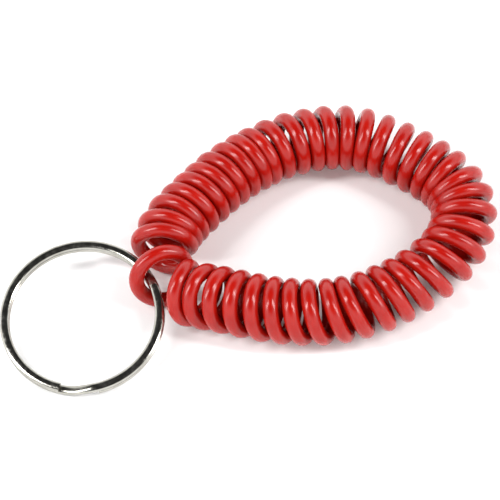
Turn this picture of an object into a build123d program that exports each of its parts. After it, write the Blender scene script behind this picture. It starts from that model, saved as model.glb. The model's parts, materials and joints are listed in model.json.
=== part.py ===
"""Spiral wrist coil key ring: one plastic cord wound into a closed coil, and a split ring linked to it.

The coil lies on its side on the table. Its turns touch or nearly touch, so each stretch of it is a round
tube of the coil's outer diameter. The turns beside the split ring are open, and there the cord itself is made.
+Z is up, +X runs along the loop's longer way, and the origin is under the middle of the whole object.
"""
from build123d import *
import os
from math import asin, atan2, cos, hypot, pi, radians, sin, tan

os.makedirs("parts", exist_ok=True)

# ---- driving dimensions, mm and degrees ----
coil_diameter = 13.2          # outside of the coil
cord_diameter = 3.0           # the plastic cord that it is wound from
ring_diameter = 32.0          # outside of the split ring
wire_width = 1.85             # the ring's wire, measured along the ring's radius
wire_height = 0.95            # one layer of the wire, through the ring's thickness
layer_gap = 0.1               # between the ring's two layers
corner_radius = 0.38          # rounding of the wire's edges

# The middle line of the coil, counter-clockwise from above, seen as corners that its curve rounds off.
# The first two corners are the loop's narrow end, where the split ring hangs.
narrow_end = [(-16.6, 1.8), (-18.6, -10.2)]
wide_end = [
    (-6.0, -14.0),
    (6.0, -17.6),
    (19.0, -17.8),
    (31.5, -12.0),
    (41.5, -2.5),
    (43.3, 9.5),
    (33.5, 18.8),
    (21.0, 25.0),
    (8.0, 23.2),
    (-3.0, 16.8),
    (-10.5, 9.0),
]
span_edges = [-4.0, 8.0, 20.0, 32.0]     # planes across the loop where the coil is divided to be stretched

# The open turns, as steps along the middle line from one turn's top to the next, rear to front.
turn_steps = [2.9, 6.9, 8.2, 2.9]
first_turn = 3.6              # from the rear tube's end to the first top
turn_leans = [-4, -6, 7.5, 22, 20]    # how far each turn leans back along the middle line, in degrees
turn_yaws = [-2, -4, -1, 18, 22]      # how far each turn is turned to face outwards, in degrees
inner_lean = 0.7              # how much more of each step is made on the inside of the loop
corners_per_turn = 8
first_corner = -14            # the helix is made from here to there, in corners from the first top
last_corner = 34
sunk_share = 0.55             # how far in the helix's two ends wind, inside the tubes
arc_share = 0.45              # how much of each run the arcs at its ends take
ring_crossing = 17.05         # how far along the open turns' middle line the ring's wire crosses it
ring_out_share = 0.58         # how far out of the middle line the wire lies there, as a share of the turns' radius
ring_height_share = 0.41      # how high it lies there, as a share of the coil's diameter
ring_reach_angle = 13.4       # from +X to the wire's crossing, seen from the middle of the ring
ring_fall_angle = -107.5      # the way that the ring slopes down, from the crossing to the table

# The split ring's wire, as angles round the ring.
step_start = 255.0            # where the lower layer starts to rise
step_end = 280.0              # where it has become the upper layer
end_gap = 1.5                 # between a wire's end and the step beside it
free_end_start = 180.0        # the upper layer from here to its end can be prised up
step_sections = 6             # sections along the step, less one

# ---- worked out from these ----
turn_radius = (coil_diameter - cord_diameter) / 2
coil_height = coil_diameter / 2
wire_radius = (ring_diameter - wire_width) / 2
layer_height = (wire_height + layer_gap) / 2
stack_height = 2 * wire_height + layer_gap


def corner_radii(points):
    """As large an arc at each corner as its two runs allow."""
    radii = []
    for before, corner, after in zip(points, points[1:], points[2:]):
        turn = (corner - before).get_angle(after - corner)
        shorter = min((corner - before).length, (after - corner).length)
        radii.append(arc_share * shorter / tan(radians(turn / 2)))
    return radii


def at_coil_height(point):
    return Vector(point[0], point[1], coil_height)


# ---- middle lines ----
rear_corner, front_corner = [at_coil_height(point) for point in narrow_end]
wide_points = [at_coil_height(point) for point in wide_end]
front_start = (front_corner + wide_points[0]) / 2
rear_finish = (rear_corner + wide_points[-1]) / 2

coil_points = [front_start] + wide_points + [rear_finish]
coil_radii = corner_radii([front_corner] + wide_points + [rear_corner])
print("radii along the coil:", [round(radius, 1) for radius in coil_radii])
with BuildLine() as coil_line:
    FilletPolyline(*coil_points, radius=coil_radii)

link_points = [rear_finish, rear_corner, front_corner, front_start]
link_radii = corner_radii([wide_points[-1], rear_corner, front_corner, wide_points[0]])
print("radii at the narrow end:", [round(radius, 1) for radius in link_radii])
with BuildLine() as link_line:
    FilletPolyline(*link_points, radius=link_radii)
link_path = link_line.wires()[0]
link_length = link_path.length
print("length of the open turns' middle line:", link_length)


# ---- the coil's tubes ----
with BuildPart() as coil_tube:
    with BuildSketch(Plane(origin=front_start, z_dir=coil_line.wires()[0] % 0)):
        Circle(coil_diameter / 2)
    sweep(path=coil_line.wires()[0])


def coil_between(low_x, high_x):
    """The tube between two planes across the loop, front piece first."""
    with BuildPart() as cut:
        add(coil_tube.part)
        if low_x is not None:
            split(bisect_by=Plane(origin=(low_x, 0, 0), z_dir=(1, 0, 0)), keep=Keep.TOP)
        if high_x is not None:
            split(bisect_by=Plane(origin=(high_x, 0, 0), z_dir=(1, 0, 0)), keep=Keep.BOTTOM)
    return cut.part.solids().sort_by(Axis.Y)


# ---- the open turns at the narrow end ----
def turn_distance(turns):
    """Distance along the link's middle line after this many turns from the first top."""
    whole = min(max(int(turns // 1), 0), len(turn_steps) - 1)
    part_turn = turns - whole
    part_step = part_turn - inner_lean * (1 + sin(2 * pi * (part_turn - 0.25))) / (2 * pi)
    return first_turn + sum(turn_steps[:whole]) + part_step * turn_steps[whole]


def between_turns(values, turns):
    """A value that is given for each turn's top, at a place between two tops."""
    inside = min(max(turns, 0), len(values) - 1)
    before = min(int(inside), len(values) - 2)
    return values[before] + (values[before + 1] - values[before]) * (inside - before)


def helix_corner(turns, radius):
    """A point on the helix: the cord goes over the top, down the outside and back along the inside."""
    share = turn_distance(turns) / link_length
    middle = link_path.position_at(min(max(share, 0), 1))
    if share < 0:
        middle = middle + (link_path % 0) * (share * link_length)
    if share > 1:
        middle = middle + (link_path % 1) * ((share - 1) * link_length)
    along = link_path % min(max(share, 0), 1)
    outward = Vector(along.Y, -along.X, 0)
    lean = radians(between_turns(turn_leans, turns))
    yaw = radians(between_turns(turn_yaws, turns))
    turn_out = outward * cos(yaw) - along * sin(yaw)
    turn_along = along * cos(yaw) + outward * sin(yaw)
    turn_up = Vector(0, 0, cos(lean)) - turn_along * sin(lean)
    turn_middle = Vector(middle.X, middle.Y, turn_radius * cos(lean) + cord_diameter / 2)
    angle = pi / 2 - 2 * pi * turns
    return turn_middle + turn_out * (radius * cos(angle)) + turn_up * (radius * sin(angle))


outermost = 1 - 2 * arc_share * (1 - cos(pi / corners_per_turn))
rounded_out = turn_radius / outermost
sunk_radius = sunk_share * rounded_out
helix_points = []
for index in range(first_corner, last_corner + 1):
    turns = index / corners_per_turn
    distance = turn_distance(turns)
    sunk = distance < 0 or distance > link_length
    helix_points.append(helix_corner(turns, sunk_radius if sunk else rounded_out))
with BuildLine() as helix_line:
    FilletPolyline(*helix_points, radius=corner_radii(helix_points))
helix_path = helix_line.wires()[0]

with BuildPart() as open_turns:
    with BuildSketch(Plane(origin=helix_path @ 0, z_dir=helix_path % 0)):
        Circle(cord_diameter / 2)
    sweep(path=helix_path)

stubs = coil_between(None, span_edges[0])
with BuildPart() as link_end:
    for stub in stubs:
        add(stub)
    add(open_turns.part)
link_end.part.label = "coil_link_end"
export_step(link_end.part, "parts/coil_link_end.step")

# ---- the stretches that move apart ----
for number, (low_x, high_x) in enumerate(zip(span_edges, span_edges[1:]), start=1):
    pieces = coil_between(low_x, high_x)
    for side, solid in (("front", pieces[0]), ("rear", pieces[-1])):
        with BuildPart() as stretch:
            add(solid)
        stretch.part.label = f"coil_{side}_{number}"
        export_step(stretch.part, f"parts/coil_{side}_{number}.step")

with BuildPart() as far_end:
    add(coil_between(span_edges[-1], None)[0])
far_end.part.label = "coil_far_end"
export_step(far_end.part, "parts/coil_far_end.step")

# ---- where the ring lies: through the open turns and down to the table ----
crossing_share = ring_crossing / link_length
crossing_along = link_path % crossing_share
crossing_outward = Vector(crossing_along.Y, -crossing_along.X, 0)
crossing = link_path @ crossing_share + crossing_outward * (turn_radius * ring_out_share)
link_point = Vector(crossing.X, crossing.Y, coil_diameter * ring_height_share)

# The ring's wire passes link_point, and its lowest edge is on the table.
slope_span = ring_diameter / 2 - wire_radius * cos(radians(ring_reach_angle - ring_fall_angle))
slope = asin(link_point.Z / hypot(slope_span, stack_height / 2)) - atan2(stack_height / 2, slope_span)
fall = Vector(cos(radians(ring_fall_angle)), sin(radians(ring_fall_angle)), 0)
ring_normal = (fall * sin(slope) + Vector(0, 0, cos(slope))).normalized()
reach_flat = Vector(cos(radians(ring_reach_angle)), sin(radians(ring_reach_angle)), 0)
reach = (reach_flat - ring_normal * reach_flat.dot(ring_normal)).normalized()
ring_centre = link_point - reach * wire_radius
ring_x = (Vector(1, 0, 0) - ring_normal * ring_normal.X).normalized()
ring_plane = Plane(origin=ring_centre, x_dir=ring_x, z_dir=ring_normal)


def wire_location(angle, height):
    """The place of a section across the wire at an angle round the ring, facing along the wire."""
    outward = Vector(cos(radians(angle)), sin(radians(angle)), 0)
    along = Vector(-outward.Y, outward.X, 0)
    middle = outward * wire_radius + Vector(0, 0, height)
    return ring_plane * Location(Plane(origin=middle, x_dir=outward, z_dir=along))


def wire_section(angle, height):
    with BuildSketch(Plane(wire_location(angle, height))) as section:
        RectangleRounded(wire_width, wire_height, corner_radius)
    return section.sketch


def wire_arc(start, finish, height):
    """One layer of the wire between two angles."""
    section = wire_section(start, height)
    with BuildPart() as arc:
        add(section)
        revolve(axis=Axis(ring_plane.origin, ring_plane.z_dir), revolution_arc=finish - start)
    return arc.part


lower_layer = wire_arc(step_end - 360 + end_gap, step_start, -layer_height)
upper_layer = wire_arc(step_end - 360, free_end_start, layer_height)
step_shares = [index / step_sections for index in range(step_sections + 1)]
step_profiles = [
    wire_section(step_start + share * (step_end - step_start), -layer_height * cos(pi * share))
    for share in step_shares
]
with BuildPart() as step:
    for profile in step_profiles:
        add(profile)
    loft()

with BuildPart() as split_ring:
    add(lower_layer)
    add(upper_layer)
    add(step.part)
split_ring.part.label = "split_ring"
export_step(split_ring.part, "parts/split_ring.step")

free_layer = wire_arc(free_end_start, step_start - end_gap, layer_height)
with BuildPart() as free_end:
    add(free_layer)
free_end.part.label = "ring_free_end"
export_step(free_end.part, "parts/ring_free_end.step")

swing_axis = ring_normal.cross(reach)
prise_point = ring_plane * Location((-wire_radius, 0, layer_height + wire_height / 2))
print("ring swing axis", swing_axis, "through", link_point)
print("free end axis", -ring_x, "through", prise_point.position)
print("ring centre", ring_centre, "normal", ring_normal)
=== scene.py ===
"""Looks of the spiral wrist coil key ring: a red plastic cord wound into a closed coil, and a split ring.

The coil is one swept tube, whose middle line is a helix round a closed route.
"""

import json
import random
from math import copysign, cos, pi, radians, sin

import bpy
import numpy as np
from mathutils import Matrix, Vector


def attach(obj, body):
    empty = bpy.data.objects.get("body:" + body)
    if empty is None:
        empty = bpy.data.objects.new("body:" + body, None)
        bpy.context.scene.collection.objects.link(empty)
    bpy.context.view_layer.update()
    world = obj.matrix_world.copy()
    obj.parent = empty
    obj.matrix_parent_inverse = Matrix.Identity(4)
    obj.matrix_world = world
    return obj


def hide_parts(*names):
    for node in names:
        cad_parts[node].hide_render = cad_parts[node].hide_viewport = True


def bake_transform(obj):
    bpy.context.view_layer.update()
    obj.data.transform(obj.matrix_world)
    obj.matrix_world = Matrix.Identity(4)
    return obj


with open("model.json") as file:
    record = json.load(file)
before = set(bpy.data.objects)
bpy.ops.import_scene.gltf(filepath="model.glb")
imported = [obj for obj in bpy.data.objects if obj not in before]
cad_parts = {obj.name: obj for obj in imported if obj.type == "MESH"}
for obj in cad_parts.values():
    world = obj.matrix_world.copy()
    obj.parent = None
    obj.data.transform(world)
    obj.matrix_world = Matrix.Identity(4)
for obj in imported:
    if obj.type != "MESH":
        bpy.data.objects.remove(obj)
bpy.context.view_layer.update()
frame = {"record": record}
seeded = random.Random(7)

# ---- sizes, metres and degrees ----
coil_diameter = 0.0132
cord_diameter = 0.0030
ring_diameter = 0.032
wire_width = 0.00185
wire_height = 0.00095
layer_gap = 0.0001
wire_fullness = 0.85        # 1 is an oval wire, and smaller is squarer
end_rounding = 0.00012      # of the cord's cut ends

turn_radius = (coil_diameter - cord_diameter) / 2
cord_radius = cord_diameter / 2
wire_radius = (ring_diameter - wire_width) / 2
layer_height = (wire_height + layer_gap) / 2

# ---- camera ----
view_target = Vector((0, -0.0028, 0.0066))
view_distance = 0.4665
view_elevation = radians(55.0)
view_roll = radians(-1.91)
lens_length = 172.2
sensor_width = 36

back = Vector((0, -cos(view_elevation), sin(view_elevation)))
level_right = Vector((1, 0, 0))
level_up = back.cross(level_right)
right = level_right * cos(view_roll) + level_up * sin(view_roll)
up = level_up * cos(view_roll) - level_right * sin(view_roll)
camera_data = bpy.data.cameras.new("camera")
camera_data.sensor_width = sensor_width
camera_data.lens = lens_length
camera_data.clip_start = 0.01
camera = bpy.data.objects.new("camera", camera_data)
camera_place = Matrix.Translation(view_target + back * view_distance)
camera.matrix_world = camera_place @ Matrix((right, up, back)).transposed().to_4x4()
bpy.context.scene.collection.objects.link(camera)
bpy.context.scene.camera = camera

# ---- the coil's middle line, counter-clockwise from above ----
route = [
    (-0.0166, 0.0018),
    (-0.0186, -0.0102),
    (-0.0060, -0.0140),
    (0.0060, -0.0176),
    (0.0190, -0.0178),
    (0.0315, -0.0120),
    (0.0415, -0.0025),
    (0.0430, 0.0092),
    (0.0333, 0.0183),
    (0.0210, 0.0250),
    (0.0080, 0.0232),
    (-0.0030, 0.0168),
    (-0.0105, 0.0090),
]
route_curve = bpy.data.curves.new("route", "CURVE")
route_curve.dimensions = "3D"
route_curve.resolution_u = 48
route_spline = route_curve.splines.new("NURBS")
route_spline.points.add(len(route) - 1)
for point, (x, y) in zip(route_spline.points, route):
    point.co = (x, y, coil_diameter / 2, 1)
route_spline.order_u = 3
route_spline.use_cyclic_u = True
route_object = bpy.data.objects.new("route", route_curve)
bpy.context.scene.collection.objects.link(route_object)
bpy.context.view_layer.update()
route_mesh = bpy.data.meshes.new_from_object(route_object)
line = np.array([vertex.co for vertex in route_mesh.vertices])
bpy.data.objects.remove(route_object)
bpy.data.meshes.remove(route_mesh)

# The distances run from the middle of the run that comes back to the first corner.
line_start = (np.array(route[0]) + np.array(route[-1])) / 2
first = int(np.argmin(np.hypot(line[:, 0] - line_start[0], line[:, 1] - line_start[1])))
line = np.roll(line, -first, axis=0)
closed_line = np.vstack([line, line[:1]])
line_steps = np.linalg.norm(np.diff(closed_line, axis=0), axis=1)
line_distances = np.concatenate([[0], np.cumsum(line_steps)])
loop_length = line_distances[-1]
line_along = np.roll(line, -1, axis=0) - np.roll(line, 1, axis=0)
line_along /= np.linalg.norm(line_along, axis=1)[:, None]
closed_along = np.vstack([line_along, line_along[:1]])


def on_route(distances, values):
    """Values of the closed route's points, read at these distances along it."""
    wrapped = np.mod(distances, loop_length)
    columns = [np.interp(wrapped, line_distances, values[:, axis]) for axis in range(3)]
    return np.stack(columns, axis=1)


# ---- the cord ----
# Turns are counted from the one that the ring goes through. Each mark is a turn, and how far along the loop
# its top is.
turn_marks = [
    (-10, -0.0224),
    (-9, -0.0191),
    (-4, -0.0029),
    (-2, 0.0036),
    (-1, 0.0065),
    (0, 0.0134),
    (1, 0.0216),
    (2, 0.0245),
    (3, 0.0280),
    (6, 0.0387),
    (10, 0.0534),
    (13, 0.0652),
    (14, 0.0693),
    (15, 0.0742),
    (18, 0.0860),
    (20, 0.0926),
    (23, 0.1036),
    (27, 0.1188),
    (31, 0.1334),
    (33, 0.1406),
    (34, 0.1440),
]
# How a turn stands: the turn, its lean backwards along the loop, and how far it is turned outwards, in
# degrees.
stance_marks = [
    (-10, 2, 0),
    (-4, 2, 0),
    (-1, -6, -4),
    (0, 7.5, -1),
    (1, 22, 18),
    (2, 20, 22),
    (3, 16, 15),
    (4, 12, 9),
    (5, 12, 5),
    (9, 12, 2),
    (12, 11, 2),
    (15, 15, 0),
    (20, 8, 2),
    (26, 6, 0),
    (34, 3, 0),
]
first_turn = -9.45
last_turn = 33.0
tuck_start = 32.3           # the turn where the cord's end starts to go inside the coil
tuck_depth = 0.0031
steps_per_turn = 44
cord_sides = 18
inner_lean = 0.7            # share of a step that is made on the inside of the loop
open_turns = 2.0            # turns on each side of the ring that stand open
even_turns = 1.5            # turns on each side of the ring that are wound evenly
uneven_step = 0.00018       # the most that a turn is moved along the loop
uneven_radius = 0.00006     # a turn is smaller by up to twice this
uneven_offset = 0.4         # in turns, between the two kinds of unevenness

step_count = int((last_turn - first_turn) * steps_per_turn)
turns = np.linspace(first_turn, last_turn, step_count + 1)
mark_turns = [mark[0] for mark in turn_marks]
mark_distances = [mark[1] for mark in turn_marks]
distances = np.interp(turns, mark_turns, mark_distances)

# Each turn is wound a little tighter or looser, and a little nearer to the next or further from it.
whole_turns = np.arange(int(np.floor(first_turn)) - 1, int(last_turn) + 3)
unevenness = np.array([seeded.uniform(-1, 1) for _ in whole_turns])
tightness = np.array([seeded.uniform(-1, 1) for _ in whole_turns])
away_from_ring = np.clip(np.abs(turns) - even_turns, 0, 1)
distances = distances + uneven_step * away_from_ring * np.interp(turns, whole_turns, unevenness)
radii = turn_radius - uneven_radius * (1 + np.interp(turns + uneven_offset, whole_turns, tightness))

# Beside the ring, most of each step is made on the inside of the loop.
openness = np.clip(open_turns + 0.5 - np.abs(turns), 0, 1)
step_size = np.gradient(distances, turns)
part_turns = turns - np.floor(turns)
inside_share = (1 + np.sin(2 * pi * (part_turns - 0.25))) / (2 * pi)
distances = distances - inner_lean * openness * inside_share * step_size

angles = pi / 2 - 2 * pi * turns
stance_turns, stance_leans, stance_yaws = zip(*stance_marks)
leans = np.radians(np.interp(turns, stance_turns, stance_leans))[:, None]
yaws = np.radians(np.interp(turns, stance_turns, stance_yaws))[:, None]

# The cord's end is tucked inside the coil.
tuck = np.clip((turns - tuck_start) / (last_turn - tuck_start), 0, 1)
tuck = tuck * tuck * (3 - 2 * tuck)
radii = radii - tuck_depth * tuck

middles = on_route(distances, closed_line)
alongs = on_route(distances, closed_along)
upright = np.array([0.0, 0.0, 1.0])
square_out = np.cross(alongs, upright)
square_out /= np.linalg.norm(square_out, axis=1)[:, None]
turn_out = square_out * np.cos(yaws) - alongs * np.sin(yaws)
turn_along = alongs * np.cos(yaws) + square_out * np.sin(yaws)
turn_up = upright * np.cos(leans) - turn_along * np.sin(leans)
from_middle = np.cos(angles)[:, None] * turn_out + np.sin(angles)[:, None] * turn_up
middles[:, 2] = (radii[:, None] * np.cos(leans) + cord_radius)[:, 0]
helix = middles + radii[:, None] * from_middle


def swept(name, points, facing, profile, rounding=0.0):
    """A closed tube along points, with its ends cut square.

    Each profile point is how far out along facing, and how far across it, in metres. Rounding eases the cut
    ends.
    """
    tangents = np.gradient(points, axis=0)
    tangents /= np.linalg.norm(tangents, axis=1)[:, None]
    across = np.cross(tangents, facing)
    across /= np.linalg.norm(across, axis=1)[:, None]
    square = np.cross(across, tangents)
    profile = np.array(profile)
    rings = points[:, None, :] + profile[None, :, :1] * square[:, None, :]
    rings = rings + profile[None, :, 1:] * across[:, None, :]
    if rounding:
        for end, direction in ((0, -1), (-1, 1)):
            rim = rings[end] + 0.7 * rounding * direction * tangents[end]
            rim = points[end] + (rim - points[end]) * (1 - rounding / np.abs(profile).max())
            rim += 0.3 * rounding * direction * tangents[end]
            rings = np.concatenate([rim[None], rings] if end == 0 else [rings, rim[None]])
    count, around = rings.shape[:2]
    last_ring = (count - 1) * around
    faces = []
    for low in range(0, last_ring, around):
        high = low + around
        for side in range(around):
            following = (side + 1) % around
            faces.append((low + side, low + following, high + following, high + side))
    faces.append(tuple(reversed(range(around))))
    faces.append(tuple(range(last_ring, last_ring + around)))
    mesh = bpy.data.meshes.new(name)
    mesh.from_pydata(rings.reshape(-1, 3).tolist(), [], faces)
    mesh.validate()
    mesh.shade_smooth()
    if not rounding:
        # The edges of the cut ends stay crisp.
        for edge in mesh.edges:
            low, high = sorted(edge.vertices)
            if high < around or low >= last_ring:
                edge.use_edge_sharp = True
    piece = bpy.data.objects.new(name, mesh)
    bpy.context.scene.collection.objects.link(piece)
    return piece


cord_profile = []
for side in range(cord_sides):
    turned = 2 * pi * side / cord_sides
    cord_profile.append((cord_radius * cos(turned), cord_radius * sin(turned)))
cord = swept("coiled_cord", helix, from_middle, cord_profile, end_rounding)
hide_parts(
    "coil_link_end",
    "coil_front_1",
    "coil_front_2",
    "coil_front_3",
    "coil_far_end",
    "coil_rear_1",
    "coil_rear_2",
    "coil_rear_3",
)
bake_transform(cord)

# ---- the split ring's wire: round once in the lower layer, up the step, and round again on top ----
key_ring = next(mount for mount in frame["record"]["mounts"] if mount["name"] == "key_ring")
ring_centre = Vector(key_ring["pos_m"])
ring_normal = Vector(key_ring["axis"]).normalized()
ring_x = (Vector((1, 0, 0)) - ring_normal * ring_normal.x).normalized()
ring_y = ring_normal.cross(ring_x)
# Places on the wire are in degrees round the ring, and go past 360 in the upper layer.
step_start = 255.0
step_end = 280.0
end_gap = 1.5
tip_start = 540.0
tip_end = step_start - end_gap + 360
degrees_apart = 1.5
wire_sides = 32


def wire_points(start, finish):
    """Points of the wire's middle between two angles round the ring, and the way outwards at each."""
    count = int((finish - start) / degrees_apart)
    degrees_round = np.linspace(start, finish, count + 1)
    rounds = np.radians(degrees_round)
    rise = np.clip((degrees_round - step_start) / (step_end - step_start), 0, 1)
    heights = -layer_height * np.cos(pi * rise)
    out = np.cos(rounds)[:, None] * np.array(ring_x) + np.sin(rounds)[:, None] * np.array(ring_y)
    points = np.array(ring_centre) + wire_radius * out + heights[:, None] * np.array(ring_normal)
    return points, out


wire_profile = []
for side in range(wire_sides):
    turned = 2 * pi * side / wire_sides
    outwards = wire_width / 2 * copysign(abs(cos(turned)) ** wire_fullness, cos(turned))
    upwards = wire_height / 2 * copysign(abs(sin(turned)) ** wire_fullness, sin(turned))
    wire_profile.append((outwards, upwards))

wire = swept("ring_wire", *wire_points(step_end - 360 + end_gap, tip_start), wire_profile)
tip = swept("ring_wire_tip", *wire_points(tip_start, tip_end), wire_profile)
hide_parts("split_ring")
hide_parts("ring_free_end")
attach(wire, "ring")
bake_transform(tip)


# ---- materials ----
def node_material(name):
    """A new material with one shader, and what is needed to add nodes to it."""
    material = bpy.data.materials.new(name)
    material.use_nodes = True
    nodes = material.node_tree.nodes
    links = material.node_tree.links
    nodes.clear()
    output = nodes.new("ShaderNodeOutputMaterial")
    shader = nodes.new("ShaderNodeBsdfPrincipled")
    links.new(shader.outputs["BSDF"], output.inputs["Surface"])
    return material, nodes, links, shader


def noise_of(nodes, links, source, scale, detail=2.0):
    """Noise over the surface. Its scale is roughly how many patches there are to the metre."""
    noise = nodes.new("ShaderNodeTexNoise")
    noise.inputs["Scale"].default_value = scale
    noise.inputs["Detail"].default_value = detail
    links.new(source, noise.inputs["Vector"])
    return noise.outputs["Fac"]


def ramp_of(nodes, links, source, stops):
    """Colours picked by a value, from stops of (value, colour) in rising order."""
    ramp = nodes.new("ShaderNodeValToRGB")
    first_stop, last_stop = ramp.color_ramp.elements
    first_stop.position, first_stop.color = stops[0]
    last_stop.position, last_stop.color = stops[-1]
    for position, colour in stops[1:-1]:
        ramp.color_ramp.elements.new(position).color = colour
    links.new(source, ramp.inputs["Fac"])
    return ramp.outputs["Color"]


def roughen(nodes, links, shader, source, smooth, rough):
    """Spread the roughness between two values, by noise."""
    spread = nodes.new("ShaderNodeMapRange")
    spread.inputs["From Min"].default_value = 0.3
    spread.inputs["From Max"].default_value = 0.7
    spread.inputs["To Min"].default_value = smooth
    spread.inputs["To Max"].default_value = rough
    links.new(source, spread.inputs["Value"])
    links.new(spread.outputs["Result"], shader.inputs["Roughness"])


def raise_bumps(nodes, links, shader, source, strength, depth):
    """Bumps by noise, at most this deep in metres."""
    bump = nodes.new("ShaderNodeBump")
    bump.inputs["Strength"].default_value = strength
    bump.inputs["Distance"].default_value = depth
    links.new(source, bump.inputs["Height"])
    links.new(bump.outputs["Normal"], shader.inputs["Normal"])


plastic, nodes, links, shader = node_material("red_plastic")
place = nodes.new("ShaderNodeTexCoord").outputs["Object"]
clouding = noise_of(nodes, links, place, 260.0, 3.0)
reds = [(0.3, (0.31, 0.004, 0.002, 1)), (0.7, (0.38, 0.007, 0.003, 1))]
links.new(ramp_of(nodes, links, clouding, reds), shader.inputs["Base Color"])
smudges = noise_of(nodes, links, place, 420.0, 4.0)
roughen(nodes, links, shader, smudges, 0.17, 0.25)
dimples = noise_of(nodes, links, place, 700.0, 1.0)
raise_bumps(nodes, links, shader, dimples, 0.05, 0.0001)
shader.inputs["Subsurface Weight"].default_value = 0.25
shader.inputs["Subsurface Radius"].default_value = (1.0, 0.12, 0.08)
shader.inputs["Subsurface Scale"].default_value = 0.0012
shader.inputs["IOR"].default_value = 1.43
cord.data.materials.append(plastic)

nickel, nodes, links, shader = node_material("nickel")
place = nodes.new("ShaderNodeTexCoord").outputs["Object"]
tint = noise_of(nodes, links, place, 350.0, 3.0)
greys = [(0.3, (0.36, 0.35, 0.31, 1)), (0.7, (0.48, 0.47, 0.43, 1))]
links.new(ramp_of(nodes, links, tint, greys), shader.inputs["Base Color"])
rubbing = noise_of(nodes, links, place, 1500.0, 4.0)
roughen(nodes, links, shader, rubbing, 0.10, 0.24)
raise_bumps(nodes, links, shader, rubbing, 0.3, 0.00004)
shader.inputs["Metallic"].default_value = 1.0
for piece in (wire, tip):
    piece.data.materials.append(nickel)

# ---- floor ----
bpy.ops.mesh.primitive_plane_add(size=6, location=(0, 0, 0))
floor = bpy.context.object
floor.name = "floor"
paper, nodes, links, shader = node_material("paper")
place = nodes.new("ShaderNodeTexCoord").outputs["Object"]
papers = [(0.0, (0.88, 0.88, 0.88, 1)), (1.0, (0.92, 0.92, 0.92, 1))]
links.new(ramp_of(nodes, links, noise_of(nodes, links, place, 40.0), papers), shader.inputs["Base Color"])
shader.inputs["Roughness"].default_value = 0.9
floor.data.materials.append(paper)

# ---- light: a long softbox on each side ----
softbox_bearing = radians(78)     # from the camera's side, round the object
softbox_lift = radians(45)
softbox_distance = 0.8
softbox_width = 0.16
softbox_length = 0.6
softbox_power = 4.5

for name, bearing in (("softbox_left", -softbox_bearing), ("softbox_right", softbox_bearing)):
    light = bpy.data.lights.new(name, "AREA")
    light.shape = "RECTANGLE"
    light.size = softbox_width
    light.size_y = softbox_length
    light.energy = softbox_power
    lamp = bpy.data.objects.new(name, light)
    side_way = cos(softbox_lift)
    towards = Vector((sin(bearing) * side_way, -cos(bearing) * side_way, sin(softbox_lift)))
    lamp.location = view_target + towards * softbox_distance
    lamp.rotation_mode = "QUATERNION"
    lamp.rotation_quaternion = towards.to_track_quat("Z", "Y")
    bpy.context.scene.collection.objects.link(lamp)

# The room is white at the sides and dark overhead, which gives the metal something dark to reflect.
white = (1, 1, 1, 1)
grey = (0.4, 0.4, 0.4, 1)
dark = (0.02, 0.02, 0.02, 1)
room_stops = [(0.0, grey), (0.16, white), (0.58, white), (0.80, dark)]
room_brightness = 1.8

world = bpy.data.worlds.new("studio")
world.use_nodes = True
nodes = world.node_tree.nodes
links = world.node_tree.links
heights = nodes.new("ShaderNodeSeparateXYZ")
links.new(nodes.new("ShaderNodeTexCoord").outputs["Generated"], heights.inputs["Vector"])
room = ramp_of(nodes, links, heights.outputs["Z"], room_stops)
links.new(room, nodes["Background"].inputs["Color"])
nodes["Background"].inputs["Strength"].default_value = room_brightness
bpy.context.scene.world = world
bpy.context.scene.view_settings.view_transform = "Standard"
